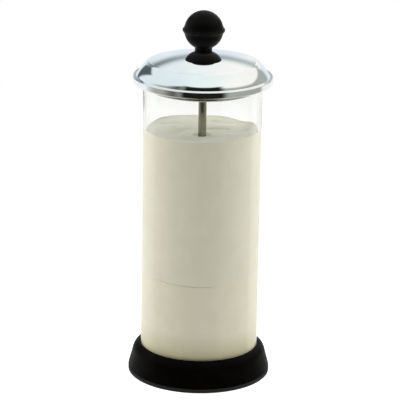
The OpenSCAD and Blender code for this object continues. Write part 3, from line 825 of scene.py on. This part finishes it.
class FROTHER_OT_rod(bpy.types.Operator):
    """Make the ground rod with a rolled thread at each end"""
    bl_idname = "frother.rod"
    bl_label = "Plunger rod"

    def execute(self, context):
        settings = context.scene.frother.head
        pitch, = in_mm(settings, "pitch")
        low, high = heights("plunger_rod")
        thread_foot = 2
        full, thread = reach("plunger_rod"), reach("plunger_rod", high=low + thread_foot)
        shoulder_low = heights("head_collar")[1] - ROD_SEAT
        shoulder_high = heights("knob_insert")[0]
        depth, tip, chamfer, relief = 0.32, 0.5, 0.15, 0.05
        per_pitch = 8

        def threaded(start, end, angle):
            count = round((end - start) / pitch * per_pitch)
            points = []
            for i in range(count + 1):
                height = start + (end - start) * i / count
                phase = (height / pitch - angle / math.tau) % 1
                faded = min(1, (height - low) / tip, (high - height) / tip)
                points.append((thread - depth * abs(2 * phase - 1) - tip * (1 - faded), height))
            return points

        def outline_at(angle):
            root = thread - depth
            return (
                [(0, low)] + threaded(low, shoulder_low - relief, angle)
                + [(root, shoulder_low), (full - chamfer, shoulder_low), (full, shoulder_low + chamfer),
                   (full, shoulder_high - chamfer), (full - chamfer, shoulder_high), (root, shoulder_high)]
                + threaded(shoulder_high + relief, high, angle) + [(0, high)])

        # The rod's colour is darkened as painted shade
        steel = metal("ground_steel", settings.rod)
        rod = place(turned("ground_rod", outline_at, 48), "plunger", steel, ["plunger_rod"])
        rod.visible_glossy = False
        return {"FINISHED"}


class FROTHER_OT_head(bpy.types.Operator):
    """Make the froth head: woven screens in folded rims, the coil round the edge, plates and nuts"""
    bl_idname = "frother.head"
    bl_label = "Froth head"

    def execute(self, context):
        settings = context.scene.frother.head
        plates, machined = metal("pressed_steel", settings.steel), metal("machined_steel", settings.steel)
        for side in ("lower", "upper"):
            self.make_screen(settings, side)
            self.make_rim(side, plates)
        self.make_coil(settings)
        self.make_collar(machined)
        nut = hex_nut("head_lock_nut", "head_nut", bore("head_nut"))
        place(nut, "plunger", machined, ["head_nut"])
        for name in ("top_plate", "cross_plate", "spring_plate"):
            finish_node(name, plates)
        finish_node("lock_washer", machined)
        return {"FINISHED"}

    def make_screen(self, settings, side):
        """Plain weave: each wire passes over and under the wires that cross it"""
        pitch, wire = in_mm(settings, "mesh", "mesh_wire")
        node_name = side + "_screen"
        low, high = heights(node_name)
        short, clear = 0.1, 0.3
        middle, edge, hole = (low + high) / 2, reach(node_name) - short, bore(node_name) + clear
        count = int(edge / pitch)
        paths = []
        for k in range(-count, count + 1):
            across = k * pitch
            if abs(across) >= edge:
                continue
            end = math.sqrt(edge ** 2 - across ** 2)
            start = math.sqrt(max(hole ** 2 - across ** 2, 0)) if abs(across) < hole else None
            runs = [(-end, end)] if start is None else [(-end, -start), (start, end)]
            for first, last in runs:
                steps = max(2, round((last - first) / pitch * 2))
                for along, other, lift in ((X_AXIS, Y_AXIS, 1), (Y_AXIS, X_AXIS, -1)):
                    path = []
                    for i in range(steps + 1):
                        s = first + (last - first) * i / steps
                        wave = lift * wire / 2 * math.cos(math.pi * (s / pitch + k))
                        path.append((along * s + other * across + Z_AXIS * (middle + wave), other))
                    paths.append(path)
        mesh = wires(side + "_wire_cloth", paths, wire / 2, 5)
        place(mesh, "plunger", metal("wire_steel", settings.steel), [node_name])

    def make_rim(self, side, material):
        """Band folded tight over the screen's edge"""
        node_name = side + "_screen_rim"
        low, high = heights(node_name)
        edge, inner = reach(node_name), bore(node_name)
        back, band, flat = 0.36, 0.28, 0.02
        slot = edge - back
        fold = (high - low) / 2 - flat
        gap = (high - low) / 2 - band
        middle = (low + high) / 2
        outline = (
            [(inner, high), (edge - fold, high)] + arc((edge - fold, middle), fold, 90, -90, 12)
            + [(inner, low), (inner, middle - gap), (slot, middle - gap), (slot, middle + gap),
               (inner, middle + gap)])
        place(lathe(side + "_folded_rim", outline, 192), "plunger", material, [node_name])

    def make_coil(self, settings):
        """Coil wound through the eyes of its plate, closed into a ring"""
        wire, = in_mm(settings, "coil_wire")
        low, high = heights("edge_spring")
        line = (high - low - wire) / 2
        centre = reach("edge_spring") - (high - low) / 2
        per_turn = 24
        path = []
        for i in range(settings.turns * per_turn):
            turn, round_ = math.tau * i / per_turn, math.tau * i / per_turn / settings.turns
            spoke = Vector((math.cos(round_), math.sin(round_), 0))
            out = math.cos(turn) * spoke + math.sin(turn) * Z_AXIS
            path.append((centre * spoke + Z_AXIS * (low + high) / 2 + line * out, out))
        mesh = wires("edge_coil", [path], wire / 2, 8, ring=True)
        place(mesh, "plunger", metal("wire_steel", settings.steel), ["edge_spring"])

    def make_collar(self, material):
        """Flanged collar, with the rod's seat sunk into its top"""
        low, high = heights("head_collar")
        flange, hole = reach("head_collar"), bore("head_collar")
        fit, wall, thick = 0.05, 2.15, 1
        seat = reach("plunger_rod") + fit
        barrel = seat + wall
        outline = rounded([
            (hole, low), (flange, low, 0.1), (flange, low + thick, 0.2), (barrel, low + thick, 0.4),
            (barrel, high, 0.5), (seat, high, 0.15), (seat, high - ROD_SEAT), (hole, high - ROD_SEAT)])
        place(lathe("head_flange", outline, 96), "plunger", material, ["head_collar"])


# ---------- milk ----------

# Unevenness of the froth: size of its ripples in millimetres, their share, and a spot in the noise
FROTH_RIPPLES = ((16, 1.0, (3.1, 7.7, 1.3)), (6, 0.4, (9.2, 1.4, 5.0)))
# Creases in the froth where it has slumped: from, to, half width and depth, in millimetres
FROTH_CREASES = (
    ((4, 15), (15, 13), 1.7, 1.1),
    ((6, 24), (24, 20), 2.4, 0.5),
    ((14, 6), (26, 4), 2.0, 0.4),
    ((-9, 12), (-16, 2), 2.2, 0.8),
    ((-24, 14), (-14, 20), 1.5, 0.5),
    ((-16, -12), (-4, -14), 1.6, 0.5),
)
# Where the froth banks up or sinks along the glass: angle and half width in degrees, height in millimetres
FROTH_BANKS = ((140, 16, 0.7), (90, 22, -0.3), (50, 15, -0.9), (21, 11, 1.3), (200, 14, 0.6), (-40, 25, 0.5))


class FROTHER_OT_milk(bpy.types.Operator):
    """Fill the beaker with milk and the froth on it"""
    bl_idname = "frother.milk"
    bl_label = "Milk and froth"

    def execute(self, context):
        settings = context.scene.frother.milk
        glass = context.scene.frother.glass
        level, sag, lean, border, uneven = in_mm(settings, "level", "sag", "lean", "border", "unevenness")
        wall, floor, corner = in_mm(glass, "wall", "floor", "corner")
        wetting = 0.15  # the milk wets the glass, so its skin lies just inside the glass wall
        edge = reach("glass_beaker") - wall + wetting
        bottom = heights("glass_beaker")[0] + floor - wetting
        rod = reach("plunger_rod")
        rows, bank_curve = 72, 5
        # The froth dips round the rod inside a low ring, and climbs a little up the glass
        dip, dip_width = 1.3, 1.5
        ring, ring_width, ring_at = 0.7, 1.3, rod + 3.2
        climb, climb_width = 0.5, 0.9
        # The border with the milk wanders, and is grooved at one side, where the froth hangs over
        wander, wander_scale = 0.8, 2.2
        grooved_from, grooved_to, groove_fade = -145, -80, 14
        groove_widest, groove_least, undercut = 0.55, 0.02, 1.5

        def surface(radius, angle):
            spot = Vector((radius * math.cos(angle), radius * math.sin(angle), 0))
            height = level - sag * (1 - (radius / edge) ** 2) - lean * math.sin(angle) * radius / edge
            for size, share, start in FROTH_RIPPLES:
                height += noise.noise(spot / size + Vector(start)) * uneven * share
            for start, end, width, depth in FROTH_CREASES:
                height -= depth * math.exp(-(self.beyond(spot, start, end) / width) ** 2)
            for middle, half, rise in FROTH_BANKS:
                apart = (math.degrees(angle) - middle + 180) % 360 - 180
                height += rise * math.exp(-(apart / half) ** 2) * (radius / edge) ** bank_curve
            height -= dip * math.exp(-(max(radius - rod, 0) / dip_width) ** 2)
            height += ring * math.exp(-((radius - ring_at) / ring_width) ** 2)
            return height + climb * math.exp(-(edge - radius) / climb_width)

        def parting_at(angle):
            """Height of the border at the glass, and half the width of its groove."""
            spot = Vector((math.cos(angle), math.sin(angle), 0.4)) * wander_scale
            degrees = (math.degrees(angle) + 180) % 360 - 180
            groove = groove_widest * within(degrees, grooved_from, grooved_to, groove_fade)
            return border + noise.noise(spot) * wander, groove_least + groove

        def froth_outline(angle):
            parting, groove = parting_at(angle)
            top = [(edge * k / rows, surface(edge * k / rows, angle)) for k in range(1, rows + 1)]
            under = [(edge, parting + groove), (edge - undercut * groove, parting), (0, border)]
            return [(0, surface(0, 0)), *top, *under]

        def milk_outline(angle):
            parting, groove = parting_at(angle)
            top = [(0, border), (edge - undercut * groove, parting), (edge, parting - groove)]
            foot = arc((edge - corner, bottom + corner), corner, 0, -90, 10)
            return [*top, (edge, bottom + corner), *foot, (0, bottom)]

        froth = milky("milk_froth", settings.froth, settings.froth_shade, settings.dry_and_lit_froth)
        place(turned("milk_froth_fill", froth_outline, 200), "beaker", froth)
        milk = milky("liquid_milk", settings.milk, settings.milk_shade, settings.dry_and_lit_froth)
        place(turned("milk_fill", milk_outline, 200), "beaker", milk)
        return {"FINISHED"}

    def beyond(self, spot, start, end):
        """Distance from a point to a straight stretch on the surface."""
        start, along = Vector(start), Vector(end) - Vector(start)
        share = min(max((spot.xy - start).dot(along) / along.length_squared, 0), 1)
        return (spot.xy - start - along * share).length


# ---------- stage ----------

def eased(value, start, end):
    """0 before the start, 1 past the end, smooth between them."""
    t = min(max((value - start) / (end - start), 0.0), 1.0)
    return t * t * (3 - 2 * t)


def within(value, low, high, edge):
    """1 between low and high, 0 outside them, with soft edges."""
    return eased(value, low - edge, low + edge) * (1 - eased(value, high - edge, high + edge))


# The light tent's cloth. Bearings run from the front to the right and elevations from level up, in degrees
SKY_LEFT = (0.80, 0.89, 0.91)
SKY_FRONT = (0.85, 1.0, 0.97)
SKY_RIGHT = (1.03, 1.01, 0.97)
SKY_TOP = (0.88, 0.965, 0.955)
SIDE_BLEND, FRONT_BLEND, TOP_BLEND = (-2.2, 2.2), (0, 70), (40, 84)
TENT_PATCHES = (
    # bearing, half width, its edge, lowest, highest, their edge, lean, spread and tilt, colour
    (180, 75, 4, -90, 12.4, 0.6, 0, 0, 0, (0.83, 0.89, 0.97)),
    (180, 75, 4, -90, -9, 3, 0, 0, 0, (0.96, 0.96, 0.94)),
    (126, 23, 5, -4, 22.5, 2.5, 0, 0, 0, (0.42, 0.45, 0.43)),
    (70, 42, 6, -90, 30, 3, 0, 0, -0.24, (0.40, 0.41, 0.38)),
    (-68, 29, 14, -90, 30.5, 2.5, 0, 0, 0.36, (0.42, 0.40, 0.35)),
    (-50, 12, 12, -90, 38.5, 2.5, 0, 0, 0.36, (0.13, 0.125, 0.11)),
    (0, 38, 8, -90, 43.5, 2, 0, 0, 0, (0.014, 0.012, 0.009)),
    (-150.5, 5.5, 3.5, -4, 28, 3, 0.46, 0.44, 0, (0.09, 0.115, 0.125)),
)
# The dark seam behind: its height, how far its middle reaches and how soon it climbs beyond that
SEAM_HEIGHT, SEAM_NEAR, SEAM_CLIMB = 12.5, 2.0, 5
# Its half width, how that grows outward and by how much at most, and how far it softens below
SEAM_WIDTH, SEAM_SPREAD, SEAM_WIDEST, SEAM_SOFTEST = 0.85, 0.2, 2, 3
SEAM_MIDDLE, SEAM_BLEND = (0.36, 0.41, 0.43), (0.5, 2.2)
SEAM_SIDES = (
    # rise in the middle and beyond it, softness below, colour, bearings where it fades out: left, then right
    (0.6, 11.5, 0.35, (0.17, 0.21, 0.225), (26, 38)),
    (0.42, 8.0, 0.0, (0.45, 0.50, 0.52), (27, 38)),
)


def tent_light(bearing, elevation):
    """Colour of the tent's cloth in a direction."""
    behind = 180 - abs(bearing)
    to_right = behind if bearing > 0 else -behind
    side = Vector(SKY_LEFT).lerp(Vector(SKY_RIGHT), eased(to_right, *SIDE_BLEND))
    cloth = Vector(SKY_FRONT).lerp(side, eased(abs(bearing), *FRONT_BLEND))
    cloth = cloth.lerp(Vector(SKY_TOP), eased(elevation, *TOP_BLEND))
    for middle, half, soft, low, high, edge, lean, spread, tilt, colour in TENT_PATCHES:
        apart = (bearing - middle - lean * elevation + 180) % 360 - 180
        width = half + spread * max(elevation, 0)
        share = 1 - eased(abs(apart), width - soft, width + soft)
        cloth = cloth.lerp(Vector(colour), share * within(elevation, low, high + tilt * apart, edge))
    past = max(behind - SEAM_NEAR, 0)
    rise, further, soft, end, last = SEAM_SIDES[bearing > 0]
    height = SEAM_HEIGHT + rise * min(behind, SEAM_NEAR) ** 2 + further * (1 - math.exp(-past / SEAM_CLIMB))
    width = SEAM_WIDTH + min(SEAM_SPREAD * past, SEAM_WIDEST)
    if elevation < height:
        width *= 1 + min(soft * past, SEAM_SOFTEST)
    seam = math.exp(-((elevation - height) / width) ** 2)
    dark = Vector(SEAM_MIDDLE).lerp(Vector(end), eased(behind, *SEAM_BLEND))
    return cloth.lerp(dark, seam * (1 - eased(behind, *last)))


class FROTHER_OT_stage(bpy.types.Operator):
    """Set the pale floor, the soft lamps, the light tent that metal mirrors, and the camera"""
    bl_idname = "frother.stage"
    bl_label = "Stage"

    def execute(self, context):
        settings = context.scene.frother.stage
        context.scene.view_settings.view_transform = "Standard"
        self.make_world(context.scene, settings)
        self.make_floor()
        self.make_lamps(settings)
        self.make_tent()
        self.make_camera(context.scene, settings)
        return {"FINISHED"}

    def seen_rays(self, tree):
        """1 for rays that show the background, directly, mirrored or through glass; 0 for rays that light"""
        path = node(tree, "LightPath").outputs
        seen = math_node(tree, "MAXIMUM", path["Is Camera Ray"], path["Is Glossy Ray"])
        return math_node(tree, "MAXIMUM", seen, path["Is Transmission Ray"])

    def mirrored_rays(self, tree):
        """1 for rays that a surface has mirrored, also where they then pass through glass"""
        return math_node(tree, "GREATER_THAN", node(tree, "LightPath").outputs["Glossy Depth"], 0.5)

    def make_world(self, scene, settings):
        """Even pale room: white to look at, dimmer as a light, and left out of mirrors"""
        world = bpy.data.worlds.new("pale_room")
        world.use_nodes = True
        tree = world.node_tree
        background = tree.nodes["Background"]
        background.inputs["Color"].default_value = (1, 1, 1, 1)
        strength = map_range(tree, self.seen_rays(tree), 0.0, 1.0, out_low=settings.ambient)
        tree.links.new(strength, background.inputs["Strength"])
        scene.world = world
        world.cycles_visibility.glossy = False

    def make_floor(self):
        """Pale floor that keeps the object's soft shadow and fades to white away from it"""
        radius, sides, near, far, fill = 6.0, 64, 0.25, 0.7, 0.62
        grey = (0.85, 0.85, 0.85)
        material, tree, shader = finish("pale_floor", grey, Roughness=0.9, Specular_IOR_Level=0.1)
        shader.inputs["Emission Color"].default_value = (1, 1, 1, 1)
        seen = self.seen_rays(tree)
        tree.links.new(math_node(tree, "MULTIPLY", seen, fill), shader.inputs["Emission Strength"])
        away = node(tree, "VectorMath", {0: own_place(tree)}, operation="LENGTH").outputs["Value"]
        white = node(tree, "Emission", {"Color": (1, 1, 1, 1), "Strength": 1.0})
        fade = math_node(tree, "MULTIPLY", map_range(tree, away, near, far), seen)
        pale = node(tree, "MixShader", {0: fade, 1: shader.outputs[0], 2: white.outputs[0]})
        clear = node(tree, "BsdfTransparent")
        below = node(tree, "NewGeometry").outputs["Backfacing"]
        open_to = math_node(tree, "MAXIMUM", below, self.mirrored_rays(tree))
        show(tree, open_to, pale, clear)
        turns = [math.tau * i / sides for i in range(sides)]
        corners = [(radius * math.cos(turn), radius * math.sin(turn), 0) for turn in turns]
        mesh = mesh_of("floor", corners, [tuple(range(sides))])
        mesh.materials.append(material)
        self.add(bpy.data.objects.new("floor", mesh))

    def add(self, thing):
        bpy.context.scene.collection.objects.link(thing)
        return thing

    def make_lamps(self, settings):
        """Large soft lamps, that no mirror sees"""
        middle = (CAD_BOX[0] + CAD_BOX[1]) / 2
        lamps = (
            # azimuth, elevation, distance, size and power
            ("left_lamp", -112, 32, 1.1, (1.0, 1.4), settings.side_lamps),
            ("right_lamp", 112, 32, 1.1, (1.0, 1.4), settings.side_lamps),
            ("top_lamp", 0, 86, 1.0, (1.0, 1.0), settings.top_lamp),
        )
        for name, azimuth, elevation, distance, size, power in lamps:
            lamp = bpy.data.lights.new(name, "AREA")
            lamp.shape = "RECTANGLE"
            lamp.size, lamp.size_y = size
            lamp.energy = power
            thing = self.add(bpy.data.objects.new(name, lamp))
            thing.visible_glossy = False
            away = self.direction(azimuth, elevation)
            thing.location = middle + away * distance
            thing.rotation_mode = "QUATERNION"
            thing.rotation_quaternion = away.to_track_quat("Z", "Y")

    def direction(self, azimuth, elevation):
        """Unit step outward, turned from the camera's side to the right and then up, in degrees"""
        a, e = math.radians(azimuth), math.radians(elevation)
        return Vector((math.sin(a) * math.cos(e), -math.cos(a) * math.cos(e), math.sin(e)))

    def make_tent(self):
        """Soft box round the set that only mirrors see, dark where the room is open in front"""
        radius, share_up = 12.0, 0.85
        # Fine steps where the seam runs, coarse ones elsewhere
        rows = [*range(-90, 8, 2), *(8 + 0.25 * i for i in range(80)), *range(28, 50), *range(50, 91, 2)]
        close = [*(0.2 * i for i in range(15)), *(3 + 0.5 * i for i in range(10))]
        behind = [*close, *range(8, 40), *range(40, 181, 2)]
        bearings = [-180 + apart for apart in behind] + [180 - apart for apart in behind[-2:0:-1]]
        columns = len(bearings)
        middle = Vector((0, 0, CAD_BOX[1].z * share_up))
        places = [middle + self.direction(bearing, row) * radius for row in rows for bearing in bearings]
        faces = []
        for i in range(len(rows) - 1):
            for j in range(columns):
                k = (j + 1) % columns
                low, high = i * columns, (i + 1) * columns
                faces.append((low + j, low + k, high + k, high + j))
        mesh = mesh_of("light_tent", places, faces)
        glow = mesh.color_attributes.new("glow", "FLOAT_COLOR", "POINT")
        for i, row in enumerate(rows):
            for j, bearing in enumerate(bearings):
                glow.data[i * columns + j].color = (*tent_light(bearing, row), 1)
        material = bpy.data.materials.new("tent_cloth")
        material.use_nodes = True
        tree = material.node_tree
        cloth = node(tree, "Attribute", attribute_name="glow")
        light = node(tree, "Emission", {"Color": cloth.outputs["Color"], "Strength": 1.0})
        clear = node(tree, "BsdfTransparent")
        show(tree, self.mirrored_rays(tree), clear, light)
        mesh.materials.append(material)
        tent = self.add(bpy.data.objects.new("light_tent", mesh))
        tent.visible_camera = tent.visible_diffuse = tent.visible_shadow = False

    def make_camera(self, scene, settings):
        data = bpy.data.cameras.new("camera")
        sensor, farthest = 36.0, 30.0
        data.lens, data.sensor_width, data.shift_x = settings.lens, sensor, settings.shift
        data.clip_end = farthest
        camera = self.add(bpy.data.objects.new("camera", data))
        camera.location = (0, -settings.distance, settings.height)
        ahead = Vector((0, 0, settings.aim)) - camera.location
        camera.rotation_mode = "QUATERNION"
        camera.rotation_quaternion = ahead.to_track_quat("-Z", "Y") @ Quaternion(Z_AXIS, settings.roll)
        scene.camera = camera


# ---------- add-on ----------

class FROTHER_PT_pieces(bpy.types.Panel):
    """Lists the frother's pieces with their sizes and colours"""
    bl_idname = "FROTHER_PT_pieces"
    bl_label = "Milk frother"
    bl_space_type = "VIEW_3D"
    bl_region_type = "UI"
    bl_category = "Frother"

    def draw(self, context):
        settings = context.scene.frother
        for operator, group in PIECES:
            box = self.layout.box()
            box.operator(operator.bl_idname)
            if group:
                for name in getattr(settings, group).__annotations__:
                    box.prop(getattr(settings, group), name)


PIECES = (
    (FROTHER_OT_glass, "glass"),
    (FROTHER_OT_base, "base"),
    (FROTHER_OT_lid, "lid"),
    (FROTHER_OT_bush, None),
    (FROTHER_OT_knob, "knob"),
    (FROTHER_OT_rod, None),
    (FROTHER_OT_head, "head"),
    (FROTHER_OT_milk, "milk"),
    (FROTHER_OT_stage, "stage"),
)
CLASSES = (
    FrotherGlass, FrotherLid, FrotherKnob, FrotherBase, FrotherHead, FrotherMilk, FrotherStage,
    FrotherSettings, *[operator for operator, _ in PIECES], FROTHER_PT_pieces,
)


def register():
    for made in CLASSES:
        bpy.utils.register_class(made)
    bpy.types.Scene.frother = group_field(FrotherSettings, "Frother", "The frother's settings")


def unregister():
    del bpy.types.Scene.frother
    for made in reversed(CLASSES):
        bpy.utils.unregister_class(made)


def main():
    register()
    bpy.ops.frother.glass()
    bpy.ops.frother.base()
    bpy.ops.frother.lid()
    bpy.ops.frother.bush()
    bpy.ops.frother.knob()
    bpy.ops.frother.rod()
    bpy.ops.frother.head()
    bpy.ops.frother.milk()
    bpy.ops.frother.stage()
    bpy.context.view_layer.update()


if __name__ == "__main__":
    main()
